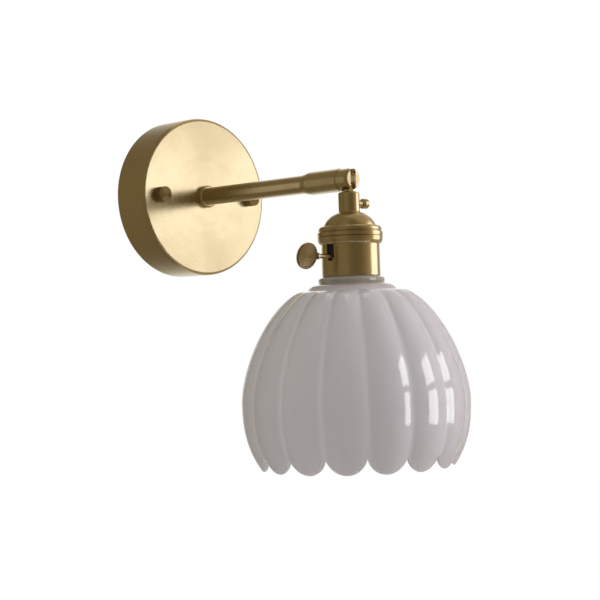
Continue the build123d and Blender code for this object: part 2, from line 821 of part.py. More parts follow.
def lamp():
    parts = {
        "wall_bracket": wall_bracket(),
        "earth_screw": earth_screw(),
        "terminal_block": terminal_block(),
        "terminal_block_screw": terminal_block_screw(),
        "canopy": canopy(),
        "arm_nipple": arm_nipple(),
        "arm_washer": arm_washer(),
        "arm_lock_nut": arm_lock_nut(),
        "arm_collar": arm_collar(),
        "arm_tube": arm_tube(),
        "knuckle_sleeve": knuckle_sleeve(),
        "pivot_screw": pivot_screw(),
        "knuckle_tongue": knuckle_tongue(),
        "socket_cap": socket_cap(),
        "neck_lock_screw": neck_lock_screw(),
        "socket_shell": socket_shell(),
        "shell_liner": shell_liner(),
        "lampholder_body": lampholder_body(),
        "screw_shell": screw_shell(),
        "centre_contact": centre_contact(),
        "switch_rotor": switch_rotor(),
        "key_stem": key_stem(),
        "key_disc": key_disc(),
        "shade_gasket": shade_gasket(),
        "glass_shade": glass_shade(),
        "shade_ring": shade_ring(),
    }
    for side, name in ((-1, "left"), (1, "right")):
        parts["bracket_stud_" + name] = bracket_stud(side)
        parts["stud_nut_" + name] = stud_nut(side)
        parts["thumb_nut_" + name] = thumb_nut(side)
        parts["pivot_washer_" + name] = pivot_washer(side)
    for side, place, name in zip((1, -1), terminal_places, ("live", "neutral")):
        parts["arm_lead_" + name] = arm_lead(side)
        parts["head_lead_" + name] = head_lead(place)
        parts["terminal_screw_" + name] = terminal_screw(place)
    return parts


os.makedirs("parts", exist_ok=True)
for name, shape in lamp().items():
    export_step(shape, f"parts/{name}.step")
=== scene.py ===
import bpy
from math import cos, hypot, pi, radians, sin, sqrt
from mathutils import Matrix, Vector


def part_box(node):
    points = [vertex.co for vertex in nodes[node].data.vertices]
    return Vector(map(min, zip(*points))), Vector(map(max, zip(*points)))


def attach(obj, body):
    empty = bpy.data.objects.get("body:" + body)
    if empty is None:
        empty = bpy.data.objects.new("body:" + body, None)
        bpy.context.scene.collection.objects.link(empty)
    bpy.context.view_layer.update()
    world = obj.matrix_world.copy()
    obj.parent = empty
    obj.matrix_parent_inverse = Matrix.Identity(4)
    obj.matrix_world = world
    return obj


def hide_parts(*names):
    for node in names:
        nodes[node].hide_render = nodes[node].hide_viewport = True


# Glass wall lamp: brass canopy, arm and keyed socket, fluted milk glass shade.
# Metres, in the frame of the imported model: wall at y = 0, room towards -Y, +Z up.

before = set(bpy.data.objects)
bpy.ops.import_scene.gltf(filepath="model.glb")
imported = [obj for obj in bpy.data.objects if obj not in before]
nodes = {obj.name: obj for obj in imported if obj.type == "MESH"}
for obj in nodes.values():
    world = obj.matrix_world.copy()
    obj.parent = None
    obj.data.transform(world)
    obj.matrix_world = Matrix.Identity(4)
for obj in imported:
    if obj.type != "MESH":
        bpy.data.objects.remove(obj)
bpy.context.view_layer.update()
print("packed model loaded:", len(nodes), "nodes")

head = {
    "pivot": (0.0, -0.1738, 0.0),
    "tilt": radians(0.4),        # the shade leans into the room
}
headTurn = pi - head["tilt"]
headPlace = Matrix.Translation(head["pivot"]) @ Matrix.Rotation(headTurn, 4, "X")


def addNode(tree, kind, inputs=None, **settings):
    made = tree.nodes.new(kind)
    for name, value in settings.items():
        setattr(made, name, value)
    for name, value in (inputs or {}).items():
        if isinstance(value, bpy.types.NodeSocket):
            tree.links.new(value, made.inputs[name])
        else:
            made.inputs[name].default_value = value
    return made


def calculate(tree, operation, *values):
    inputs = dict(enumerate(values))
    return addNode(tree, "ShaderNodeMath", inputs, operation=operation).outputs[0]


def spread(tree, value, low, high, fromLow=0.0, fromHigh=1.0):
    inputs = {"Value": value, "From Min": fromLow, "From Max": fromHigh, "To Min": low, "To Max": high}
    return addNode(tree, "ShaderNodeMapRange", inputs).outputs["Result"]


def blendColours(tree, share, first, second):
    inputs = {"Factor": share, 6: first, 7: second}
    return addNode(tree, "ShaderNodeMix", inputs, data_type="RGBA").outputs[2]


def newGroup(name, kind, inputs, outputs):
    tree = bpy.data.node_groups.new(name, kind)
    for way, sockets in (("INPUT", inputs), ("OUTPUT", outputs)):
        for socketName, socketKind, value in sockets:
            made = tree.interface.new_socket(name=socketName, in_out=way, socket_type=socketKind)
            if value is not None:
                made.default_value = value
    start = tree.nodes.new("NodeGroupInput")
    end = tree.nodes.new("NodeGroupOutput")
    return tree, start, end


def useGroup(tree, group, inputs):
    made = tree.nodes.new("ShaderNodeGroup")
    made.node_tree = group
    for name, value in inputs.items():
        if isinstance(value, bpy.types.NodeSocket):
            tree.links.new(value, made.inputs[name])
        else:
            made.inputs[name].default_value = value
    return made


def makeTurnedRings():
    # fine rings that a lathe and a brushing wheel leave round the Z axis of Vector
    broadShare = 0.045           # broad rings for each fine one
    tree, start, end = newGroup(
        "turnedRings", "ShaderNodeTree",
        [
            ("Vector", "NodeSocketVector", None),
            ("Rings per Metre", "NodeSocketFloat", 7000.0),
            ("Roughness", "NodeSocketFloat", 0.3),
            ("Spread", "NodeSocketFloat", 0.08),
        ],
        [("Roughness", "NodeSocketFloat", None), ("Height", "NodeSocketFloat", None)],
    )
    parts = addNode(tree, "ShaderNodeSeparateXYZ", {0: start.outputs["Vector"]}).outputs
    across = calculate(tree, "POWER", parts["X"], 2.0)
    along = calculate(tree, "POWER", parts["Y"], 2.0)
    radius = calculate(tree, "SQRT", calculate(tree, "ADD", across, along))
    line = calculate(tree, "ADD", radius, parts["Z"])
    place = calculate(tree, "MULTIPLY", line, start.outputs["Rings per Metre"])
    broadPlace = calculate(tree, "MULTIPLY", place, broadShare)
    fine, broad = [
        addNode(tree, "ShaderNodeTexNoise", {"W": at, "Scale": 1.0, "Detail": detail}, noise_dimensions="1D")
        for at, detail in ((place, 2.0), (broadPlace, 3.0))
    ]
    mixed = calculate(tree, "ADD", fine.outputs["Fac"], broad.outputs["Fac"])
    shift = calculate(tree, "MULTIPLY", calculate(tree, "SUBTRACT", mixed, 1.0), start.outputs["Spread"])
    tree.links.new(calculate(tree, "ADD", shift, start.outputs["Roughness"]), end.inputs["Roughness"])
    tree.links.new(fine.outputs["Fac"], end.inputs["Height"])
    return tree


def makeHandling():
    # soft cloudy patches where a surface was touched or its lacquer is thicker
    tree, start, end = newGroup(
        "handling", "ShaderNodeTree",
        [
            ("Vector", "NodeSocketVector", None),
            ("Patches per Metre", "NodeSocketFloat", 30.0),
            ("Colour", "NodeSocketColor", (0.8, 0.8, 0.8, 1.0)),
            ("Touched Colour", "NodeSocketColor", (0.7, 0.7, 0.7, 1.0)),
        ],
        [("Colour", "NodeSocketColor", None), ("Mask", "NodeSocketFloat", None)],
    )
    patches = addNode(tree, "ShaderNodeTexNoise", {
        "Vector": start.outputs["Vector"], "Scale": start.outputs["Patches per Metre"],
        "Detail": 4.0, "Roughness": 0.55, "Distortion": 0.4,
    })
    mask = spread(tree, patches.outputs["Fac"], 0.0, 1.0, 0.35, 0.7)
    mixed = blendColours(tree, mask, start.outputs["Colour"], start.outputs["Touched Colour"])
    tree.links.new(mixed, end.inputs["Colour"])
    tree.links.new(mask, end.inputs["Mask"])
    return tree


def addObject(name, data):
    made = bpy.data.objects.new(name, data)
    bpy.context.scene.collection.objects.link(made)
    return made


def ringFaces(rings, count):
    # quads between closed rings of points, from the last ring back to the first
    faces = []
    for ring in range(rings):
        first, second = ring * count, (ring + 1) % rings * count
        for step in range(count):
            beside = (step + 1) % count
            faces.append((first + step, first + beside, second + beside, second + step))
    return faces


turnedRings = makeTurnedRings()
handling = makeHandling()


def startMaterial(name):
    material = bpy.data.materials.new(name)
    material.use_nodes = True
    tree = material.node_tree
    return material, tree, tree.nodes["Principled BSDF"]


def objectPoint(tree, centre=(0, 0, 0), turn=(0, 0, 0)):
    place = addNode(tree, "ShaderNodeTexCoord").outputs["Object"]
    inputs = {"Vector": place, "Location": centre, "Rotation": turn}
    return addNode(tree, "ShaderNodeMapping", inputs, vector_type="TEXTURE").outputs["Vector"]


metalMarks = {
    "patches": 28.0,         # touched patches in a metre
    "dulling": 0.04,         # added roughness where the metal was touched
    "ringStrength": 0.5,
}
brass = {
    "colour": (0.62, 0.535, 0.30, 1.0),
    "touched": (0.575, 0.485, 0.262, 1.0),
    "roughness": 0.26,
    "spread": 0.02,
    "rings": 5200.0,
    "ringDepth": 0.0000006,
    "anisotropy": 0.75,
    "anisotropyTurn": 0.25,  # quarter of a turn: highlights lie across the brushing
    "lacquer": 0.3,
    "lacquerRoughness": 0.12,
}


def turnedMetal(name, look, centre, turn, axis):
    # axis: the object axis that the brushing goes round
    material, tree, shader = startMaterial(name)
    point = objectPoint(tree, centre, turn)
    rings = useGroup(tree, turnedRings, {
        "Vector": point, "Rings per Metre": look["rings"],
        "Roughness": look["roughness"], "Spread": look["spread"],
    }).outputs
    marks = useGroup(tree, handling, {
        "Vector": point, "Patches per Metre": metalMarks["patches"],
        "Colour": look["colour"], "Touched Colour": look["touched"],
    }).outputs
    dulled = spread(tree, marks["Mask"], 0.0, metalMarks["dulling"])
    bump = addNode(tree, "ShaderNodeBump", {
        "Height": rings["Height"], "Strength": metalMarks["ringStrength"], "Distance": look["ringDepth"],
    })
    links = tree.links
    links.new(marks["Colour"], shader.inputs["Base Color"])
    links.new(calculate(tree, "ADD", rings["Roughness"], dulled), shader.inputs["Roughness"])
    links.new(bump.outputs["Normal"], shader.inputs["Normal"])
    shader.inputs["Metallic"].default_value = 1.0
    shader.inputs["Coat Weight"].default_value = look["lacquer"]
    shader.inputs["Coat Roughness"].default_value = look["lacquerRoughness"]
    if look["anisotropy"]:
        shader.inputs["Anisotropic"].default_value = look["anisotropy"]
        shader.inputs["Anisotropic Rotation"].default_value = look["anisotropyTurn"]
        tangent = addNode(tree, "ShaderNodeTangent", direction_type="RADIAL", axis=axis)
        links.new(tangent.outputs["Tangent"], shader.inputs["Tangent"])
    return material


wornRoughness = 0.08         # added to a moulded piece where it was touched


def plainSolid(name, look, centre=(0, 0, 0)):
    # moulded, glazed or rubbery stuff with faint clouds and a fine grain
    material, tree, shader = startMaterial(name)
    point = objectPoint(tree, centre)
    marks = useGroup(tree, handling, {
        "Vector": point, "Patches per Metre": look["patches"],
        "Colour": look["colour"], "Touched Colour": look["touched"],
    }).outputs
    grain = addNode(tree, "ShaderNodeTexNoise", {"Vector": point, "Scale": look["grain"], "Detail": 3.0})
    bump = addNode(tree, "ShaderNodeBump", {
        "Height": grain.outputs["Fac"], "Strength": 0.4, "Distance": look["grainDepth"],
    })
    links = tree.links
    links.new(marks["Colour"], shader.inputs["Base Color"])
    worn = spread(tree, marks["Mask"], look["roughness"], look["roughness"] + wornRoughness)
    links.new(worn, shader.inputs["Roughness"])
    links.new(bump.outputs["Normal"], shader.inputs["Normal"])
    for socket, value in look.get("sockets", {}).items():
        shader.inputs[socket].default_value = value
    return material


steel = {
    "colour": (0.55, 0.56, 0.57, 1.0), "touched": (0.47, 0.48, 0.50, 1.0),
    "roughness": 0.42, "spread": 0.06, "rings": 2600.0, "ringDepth": 0.000004,
    "anisotropy": 0.0, "lacquer": 0.0, "lacquerRoughness": 0.2,
}
brightBrass = dict(
    brass, colour=(0.74, 0.58, 0.33, 1.0), touched=(0.66, 0.5, 0.27, 1.0),
    roughness=0.2, anisotropy=0.0, lacquer=0.0,
)
# a darker, rougher copy of the brass for the thumb nuts and the key: the roughness is a duller finish, the
# darker colour is painted shade
dullShadedBrass = dict(
    brass, colour=(0.44, 0.37, 0.235, 1.0), touched=(0.39, 0.32, 0.2, 1.0), roughness=0.32, lacquer=0.1,
)
# painted highlight: nearly white brass that makes the key stem look as bright as its highlight
paintedHighlightBrass = dict(brightBrass, colour=(0.93, 0.84, 0.68, 1.0), touched=(0.85, 0.75, 0.58, 1.0), roughness=0.3)
nickel = dict(
    steel, colour=(0.66, 0.63, 0.58, 1.0), touched=(0.58, 0.55, 0.5, 1.0), roughness=0.2,
)
porcelain = {
    "colour": (0.82, 0.81, 0.76, 1.0), "touched": (0.79, 0.775, 0.72, 1.0),
    "patches": 40.0, "grain": 300.0, "grainDepth": 0.00004, "roughness": 0.12,
}
whitePlastic = {
    "colour": (0.78, 0.77, 0.73, 1.0), "touched": (0.74, 0.73, 0.69, 1.0),
    "patches": 60.0, "grain": 2500.0, "grainDepth": 0.00001, "roughness": 0.35,
}
# near-black fibre: partly the liner's own colour, partly painted shade inside the key slot
fibre = {
    "colour": (0.02, 0.011, 0.008, 1.0), "touched": (0.03, 0.018, 0.013, 1.0),
    "patches": 400.0, "grain": 1800.0, "grainDepth": 0.00006, "roughness": 0.7,
    "sockets": {"Specular IOR Level": 0.1},
}
silicone = {
    "colour": (0.5, 0.5, 0.49, 1.0), "touched": (0.45, 0.45, 0.44, 1.0),
    "patches": 80.0, "grain": 900.0, "grainDepth": 0.00002, "roughness": 0.45,
    "sockets": {"Transmission Weight": 0.35, "IOR": 1.41},
}
brownWire = {
    "colour": (0.12, 0.045, 0.018, 1.0), "touched": (0.15, 0.06, 0.026, 1.0),
    "patches": 120.0, "grain": 1500.0, "grainDepth": 0.00001, "roughness": 0.42,
}
blueWire = dict(brownWire, colour=(0.012, 0.06, 0.24, 1.0), touched=(0.02, 0.08, 0.29, 1.0))

towardsRoom = (radians(90), 0, 0)
downHead = (headTurn, 0, 0)
sideways = (0, radians(90), 0)


def centreOf(name):
    low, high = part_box(name)
    return (low + high) / 2


def paint(material, *names):
    for name in names:
        slots = nodes[name].material_slots
        if not slots:
            nodes[name].data.materials.append(material)
        for slot in slots:
            slot.material = material


paint(
    turnedMetal("brassOnWall", brass, (0, 0, 0), towardsRoom, "Y"),
    "canopy", "arm_collar", "arm_tube", "knuckle_sleeve",
)
paint(
    turnedMetal("brassOnHead", brass, head["pivot"], downHead, "Z"),
    "socket_cap", "socket_shell", "knuckle_tongue",
)
# the thumb nuts and the key take the darker brass, whose colour is painted shade
for side in ("left", "right"):
    nut = "thumb_nut_" + side
    paint(turnedMetal("brassNut_" + side, dullShadedBrass, centreOf(nut), towardsRoom, "Y"), nut)
    for kind in ("bracket_stud_", "stud_nut_"):
        name = kind + side
        paint(turnedMetal("zinc_" + name, steel, centreOf(name), towardsRoom, "Y"), name)
paint(turnedMetal("brassKey", dullShadedBrass, centreOf("key_disc"), towardsRoom, "Y"), "key_disc")
paint(turnedMetal("brassLockScrew", brass, centreOf("neck_lock_screw"), sideways, "X"), "neck_lock_screw")
# the key stem's pale brass is a painted highlight
paint(turnedMetal("paintedHighlightStem", paintedHighlightBrass, centreOf("key_stem"), sideways, "X"), "key_stem")
paint(turnedMetal("brightPivot", brightBrass, centreOf("pivot_screw"), sideways, "X"), "pivot_screw")
paint(
    turnedMetal("brightContacts", brightBrass, head["pivot"], downHead, "Z"),
    "centre_contact", "terminal_screw_live", "terminal_screw_neutral",
)
paint(turnedMetal("brightEarth", brightBrass, centreOf("earth_screw"), towardsRoom, "Y"), "earth_screw")
paint(
    turnedMetal("zincInside", steel, (0, 0, 0), towardsRoom, "Y"),
    "wall_bracket", "terminal_block_screw", "arm_nipple", "arm_washer", "arm_lock_nut",
)
paint(
    plainSolid("whiteMoulding", whitePlastic),
    "terminal_block", "switch_rotor", "shade_ring", "pivot_washer_left", "pivot_washer_right",
)
paint(plainSolid("glazedPorcelain", porcelain, head["pivot"]), "lampholder_body")
# the liner's near-black colour paints the shade inside the key slot
slotShadeFibre = plainSolid("slotShadeFibre", fibre)
paint(slotShadeFibre, "shell_liner")
paint(plainSolid("paleSilicone", silicone), "shade_gasket")
paint(plainSolid("brownInsulation", brownWire), "arm_lead_live", "head_lead_live")
paint(plainSolid("blueInsulation", blueWire), "arm_lead_neutral", "head_lead_neutral")
nickelPlate = turnedMetal("nickelPlate", nickel, head["pivot"], downHead, "Z")
paint(nickelPlate, "screw_shell")
print("finishes on the packed nodes:", len(bpy.data.materials))


glass = {
    "colour": (0.60, 0.585, 0.60, 1.0),
    "cloud": (0.565, 0.55, 0.565, 1.0),
    # painted light: the paler colour that the glass takes at the bottom of each groove
    "paintedGrooveLight": (0.68, 0.665, 0.685, 1.0),
    # painted shade and painted reflection: the dark brownish glass colour at the neck, under the brass shell
    "paintedNeckShade": (0.3, 0.28, 0.24, 1.0),
    "scatterRadius": (1.0, 0.95, 0.95),
    "scatterScale": 0.0085,
    "refraction": 1.6,
    "gloss": 1.0,
    "roughness": 0.05,
    "waves": 55.0,
    "waveDepth": 0.00022,
    "waveStrength": 0.6,
    "clouds": 22.0,
    "cloudRoughness": 0.03,
    "stretch": 0.35,             # waves and clouds run down the petals
    "grooveSharpness": 6.0,
    "neckBlend": 0.001,
}


def milkGlass():
    material, tree, shader = startMaterial("milkGlass")
    point = objectPoint(tree, head["pivot"], downHead)
    stretched = addNode(tree, "ShaderNodeMapping", {"Vector": point, "Scale": (1.0, 1.0, glass["stretch"])})
    clouds = useGroup(tree, handling, {
        "Vector": stretched.outputs["Vector"], "Patches per Metre": glass["clouds"],
        "Colour": glass["colour"], "Touched Colour": glass["cloud"],
    }).outputs
    # painted light: the base colour turns paler towards each groove's bottom, lifting the grooves' shade
    # into light lines
    groove = addNode(tree, "ShaderNodeAttribute", attribute_name="groove").outputs["Fac"]
    lit = calculate(tree, "POWER", groove, glass["grooveSharpness"])
    paler = blendColours(tree, lit, clouds["Colour"], glass["paintedGrooveLight"])
    # painted shade: the base colour turns dark and brownish towards the neck, above the shoulder, for the
    # shell's shadow and its reflection
    depth = addNode(tree, "ShaderNodeSeparateXYZ", {0: point}).outputs["Z"]
    low = spread(tree, depth, 0.0, 1.0, shade["flareStart"] - glass["neckBlend"], shade["shoulder"])
    withNeckShade = blendColours(tree, low, glass["paintedNeckShade"], paler)
    waves = addNode(tree, "ShaderNodeTexNoise", {
        "Vector": stretched.outputs["Vector"], "Scale": glass["waves"], "Detail": 1.5,
    })
    bump = addNode(tree, "ShaderNodeBump", {
        "Height": waves.outputs["Fac"], "Strength": glass["waveStrength"], "Distance": glass["waveDepth"],
    })
    links = tree.links
    links.new(withNeckShade, shader.inputs["Base Color"])
    cloudy = spread(tree, clouds["Mask"], glass["roughness"], glass["roughness"] + glass["cloudRoughness"])
    links.new(cloudy, shader.inputs["Roughness"])
    links.new(bump.outputs["Normal"], shader.inputs["Normal"])
    shader.inputs["IOR"].default_value = glass["refraction"]
    shader.inputs["Coat Weight"].default_value = glass["gloss"]
    shader.inputs["Coat Roughness"].default_value = glass["roughness"]
    shader.inputs["Subsurface Weight"].default_value = 1.0
    shader.inputs["Subsurface Radius"].default_value = glass["scatterRadius"]
    shader.inputs["Subsurface Scale"].default_value = glass["scatterScale"]
    return material


# The shade is one petal, drawn from its rule and repeated round the axis.
shadeTop = 0.06485           # depth of the glass below the pivot
shade = {
    "petals": 16,
    "firstTurn": radians(7.1),
    "wall": 0.0028,
    "top": shadeTop,
    "seat": shadeTop + 0.0028,
    "holeRadius": 0.0164,
    "rimEdge": 0.0002,           # the small bevel of the hole
    "rimFlat": 0.0185,
    "boreEdge": 0.0003,
    "neckRadius": 0.0218,
    "neckRound": 0.0016,
    "flareStart": shadeTop + 0.0046,
    "flareBulge": 0.0015,
    "shoulder": shadeTop + 0.0085,
    "shoulderRadius": 0.0297,
    "shoulderStep": 0.0006,      # the inside starts this much nearer to the axis
    "ledgeRadius": 0.0316,
    "ledgeDrop": 0.00003,
    "petalTopRadius": 0.0335,
    "widest": shadeTop + 0.0801,
    "radius": 0.0752,
    "hem": shadeTop + 0.1243,
    "hemIn": 0.0118,
    "hemSetback": 0.0009,   # from the hem to the middle of its rounded edge
    "upperBulge": 1.584,
    "upperTurn": 1.539,
    "lowerTurn": 2.618,
    "fluteAtTop": 0.0011,
    "fluteAtHem": 0.0022,
    "fluteFade": 0.030,
    "fluteShape": 2.2,       # 2 is a round petal, more is flatter with a sharper groove
    "grooveRound": 0.14,     # share of a half petal that rounds the groove's bottom
    "grooveStart": 0.004,    # run over which the grooves begin
    "hemLean": 1.04,         # run along the wall for each metre of depth at the hem
    "scallopDepth": 0.0106,
    "crestSteps": 900,
    "crestCrowding": 2.5,
    "columns": 26,
    "columnCrowding": 0.25,
    "rowsDown": 66,
    "rowCrowding": 5,
    "rowsRound": 7,
    "rowsUp": 40,
}


def crestRadius(depth):
    if depth < shade["widest"]:
        rise = (shade["widest"] - depth) / (shade["widest"] - shade["shoulder"])
        share = max(0.0, 1 - rise ** shade["upperBulge"]) ** (1 / shade["upperTurn"])
        return shade["petalTopRadius"] + (shade["radius"] - shade["petalTopRadius"]) * share
    fall = (depth - shade["widest"]) / (shade["hem"] - shade["widest"])
    return shade["radius"] - shade["hemIn"] * fall ** shade["lowerTurn"]


def crestLine():
    # points down the petals' crest with their run and the outward direction there
    steps, length = shade["crestSteps"], shade["hem"] - shade["shoulder"]
    line = []
    for step in range(steps + 1):
        depth = shade["shoulder"] + length * (step / steps) ** shade["crestCrowding"]
        line.append((crestRadius(depth), depth))
    runs = [0.0]
    for here, ahead in zip(line, line[1:]):
        runs.append(runs[-1] + hypot(ahead[0] - here[0], ahead[1] - here[1]))
    return line, runs


crestPoints, crestRuns = crestLine()


def onCrest(run):
    # the crest's radius and depth, and its outward direction, at a run from the shoulder
    low, high = 0, len(crestRuns) - 2
    while low < high:
        middle = (low + high + 1) // 2
        if crestRuns[middle] <= run:
            low = middle
        else:
            high = middle - 1
    here, ahead = crestPoints[low], crestPoints[low + 1]
    span = crestRuns[low + 1] - crestRuns[low]
    share = (run - crestRuns[low]) / span
    stepRadius, stepDepth = (ahead[0] - here[0]) / span, (ahead[1] - here[1]) / span
    size = hypot(stepRadius, stepDepth)
    place = here[0] + (ahead[0] - here[0]) * share, here[1] + (ahead[1] - here[1]) * share
    return place, (stepDepth / size, -stepRadius / size)


def grooveShare(across):
    # 0 on a petal's crest and 1 at the bottom of the groove beside it
    edge = 1 - shade["grooveRound"]
    size, power = abs(across), shade["fluteShape"]
    if size <= edge:
        return size ** power
    slope = power * edge ** (power - 1)
    past = (size - edge) / shade["grooveRound"]
    return edge ** power + slope * shade["grooveRound"] * (past - past * past / 2)


def arcPoints(centre, radius, start, end, count):
    turns = [start + (end - start) * step / count for step in range(count + 1)]
    return [(centre[0] + radius * cos(turn), centre[1] + radius * sin(turn)) for turn in turns]


def bulgedLine(start, end, bulge, count):
    # an arc between two points that stands off the straight line by bulge
    across = hypot(end[0] - start[0], end[1] - start[1])
    square = ((end[1] - start[1]) / across, -(end[0] - start[0]) / across)
    points = []
    for step in range(count + 1):
        share = step / count
        off = 4 * bulge * share * (1 - share)
        points.append((
            start[0] + (end[0] - start[0]) * share + square[0] * off,
            start[1] + (end[1] - start[1]) * share + square[1] * off,
        ))
    return points


def neckOutside():
    rounded, bevel = shade["neckRound"], shade["rimEdge"]
    corner = (shade["neckRadius"] - rounded, shade["top"] + rounded)
    points = [(shade["holeRadius"], shade["top"] + bevel), (shade["holeRadius"] + bevel, shade["top"])]
    points += [(shade["rimFlat"], shade["top"])]
    points += arcPoints(corner, rounded, -pi / 2, 0, 6)
    flare = bulgedLine(
        (shade["neckRadius"], shade["flareStart"]), (shade["shoulderRadius"], shade["shoulder"]),
        shade["flareBulge"], 8,
    )
    return points + flare + [(shade["ledgeRadius"], shade["shoulder"] + shade["ledgeDrop"])]


def neckInside():
    bore, bevel = shade["neckRadius"] - shade["wall"], shade["rimEdge"]
    points = bulgedLine(
        (shade["shoulderRadius"] - shade["shoulderStep"], shade["shoulder"] + shade["wall"]),
        (bore, shade["flareStart"] + shade["wall"] / 2), -shade["flareBulge"], 8,
    )
    return points + [
        (bore, shade["seat"] + shade["boreEdge"]), (bore - shade["boreEdge"], shade["seat"]),
        (shade["holeRadius"] + bevel, shade["seat"]), (shade["holeRadius"], shade["seat"] - bevel),
    ]


def petalMesh():
    half = pi / shade["petals"]
    wall, crowding = shade["wall"], shade["columnCrowding"]
    hemRadius = shade["radius"] - shade["hemIn"]
    reach = hemRadius * sin(half)
    scallop = (reach ** 2 + shade["scallopDepth"] ** 2) / (2 * shade["scallopDepth"])
    wholeRun = crestRuns[-1]
    outsideNeck, insideNeck = neckOutside(), neckInside()
    columns = []
    for column in range(shade["columns"] + 1):
        even = 2 * column / shade["columns"] - 1
        across = ((1 + crowding) * even - crowding * even ** 3) if abs(even) < 1 else even
        groove = grooveShare(across)
        offset = hemRadius * sin(half * across)
        raised = scallop - sqrt(scallop ** 2 - offset ** 2)
        endRun = wholeRun - raised * shade["hemLean"] - shade["hemSetback"]

        def wallPoint(run, inwards):
            (radius, depth), out = onCrest(run)
            grown = min(1.0, run / shade["fluteFade"])
            start = min(1.0, run / shade["grooveStart"])
            fullDepth = shade["fluteAtTop"] + (shade["fluteAtHem"] - shade["fluteAtTop"]) * grown
            sunk = groove * start * fullDepth
            return (radius - out[0] * (sunk + inwards), depth - out[1] * (sunk + inwards)), out

        def shifted(share):
            return share * wholeRun - (wholeRun - endRun) * share ** shade["rowCrowding"]

        line = list(outsideNeck)
        for row in range(1, shade["rowsDown"] + 1):
            line.append(wallPoint(shifted(row / shade["rowsDown"]), 0)[0])
        middle, out = wallPoint(endRun, wall / 2)
        down = (-out[1], out[0])
        for row in range(1, shade["rowsRound"]):
            turn = pi * row / shade["rowsRound"]
            line.append((
                middle[0] + wall / 2 * (out[0] * cos(turn) + down[0] * sin(turn)),
                middle[1] + wall / 2 * (out[1] * cos(turn) + down[1] * sin(turn)),
            ))
        for row in range(shade["rowsUp"], 0, -1):
            line.append(wallPoint(shifted(row / shade["rowsUp"]), wall)[0])
        line += insideNeck
        columns.append((half * across, line, groove / grooveShare(1.0)))
    vertices, faces, grooves = [], [], []
    count = len(columns[0][1])
    for turn, line, groove in columns:
        vertices += [(radius * cos(turn), radius * sin(turn), depth) for radius, depth in line]
        # the groove share also drives the glass's painted groove light
        grooves += [groove if depth > shade["shoulder"] else 0.0 for radius, depth in line]
    for column in range(len(columns) - 1):
        for row in range(count):
            ahead = (row + 1) % count
            first, second = column * count, (column + 1) * count
            faces.append((first + row, second + row, second + ahead, first + ahead))
    mesh = bpy.data.meshes.new("petal")
    mesh.from_pydata(vertices, [], faces)
    mesh.attributes.new("groove", "FLOAT", "POINT").data.foreach_set("value", grooves)
    mesh.validate()
    return mesh


def makePetalRing():
    # repeats a piece round the Z axis and welds the copies' shared edges
    tree, start, end = newGroup(
        "petalRing", "GeometryNodeTree",
        [
            ("Petal", "NodeSocketGeometry", None),
            ("Petals", "NodeSocketInt", 16),
            ("First Turn", "NodeSocketFloat", 0.0),
            ("Weld Distance", "NodeSocketFloat", 0.00001),
            ("Material", "NodeSocketMaterial", None),
        ],
        [("Shade", "NodeSocketGeometry", None)],
    )
    inputs = start.outputs
    places = addNode(tree, "GeometryNodeMeshLine", {"Count": inputs["Petals"], "Offset": (0, 0, 0)})
    step = calculate(tree, "DIVIDE", 2 * pi, inputs["Petals"])
    index = addNode(tree, "GeometryNodeInputIndex").outputs[0]
    turn = calculate(tree, "ADD", calculate(tree, "MULTIPLY", index, step), inputs["First Turn"])
    rotation = addNode(tree, "ShaderNodeCombineXYZ", {"Z": turn}).outputs[0]
    copies = addNode(tree, "GeometryNodeInstanceOnPoints", {
        "Points": places.outputs["Mesh"], "Instance": inputs["Petal"], "Rotation": rotation,
    })
    solid = addNode(tree, "GeometryNodeRealizeInstances", {"Geometry": copies.outputs["Instances"]})
    welded = addNode(tree, "GeometryNodeMergeByDistance", {
        "Geometry": solid.outputs["Geometry"], "Distance": inputs["Weld Distance"],
    })
    smooth = addNode(tree, "GeometryNodeSetShadeSmooth", {"Geometry": welded.outputs["Geometry"]})
    painted = addNode(tree, "GeometryNodeSetMaterial", {
        "Geometry": smooth.outputs["Geometry"], "Material": inputs["Material"],
    })
    tree.links.new(painted.outputs["Geometry"], end.inputs["Shade"])
    return tree


def setInput(modifier, name, value):
    for item in modifier.node_group.interface.items_tree:
        if item.item_type == "SOCKET" and item.in_out == "INPUT" and item.name == name:
            modifier[item.identifier] = value


def settle(name, source, place=None):
    # the evaluated shape as a plain mesh of its own, with its place in its vertices
    evaluated = source.evaluated_get(bpy.context.evaluated_depsgraph_get())
    mesh = bpy.data.meshes.new_from_object(evaluated)
    bpy.data.objects.remove(source)
    if place is not None:
        mesh.transform(place)
    mesh.name = name
    return addObject(name, mesh)


def makeShade():
    source = addObject("petalSource", petalMesh())
    ringModifier = source.modifiers.new("petalRing", "NODES")
    ringModifier.node_group = makePetalRing()
    setInput(ringModifier, "Petals", shade["petals"])
    setInput(ringModifier, "First Turn", shade["firstTurn"])
    setInput(ringModifier, "Material", milkGlass())
    piece = settle("glassShade", source, headPlace)
    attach(piece, "head")
    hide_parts("glass_shade")
    return piece


glassShade = makeShade()
print("shade:", len(glassShade.data.polygons), "faces")


thread = {
    "start": 0.06355,
    "length": 0.0230,
    "pitch": 0.00362,
    "crest": 0.0137,
    "root": 0.0127,
    "wall": 0.0004,
    "floorRadius": 0.0070,
    "runOut": 0.002,
    "around": 72,
    "perPitch": 12,
}


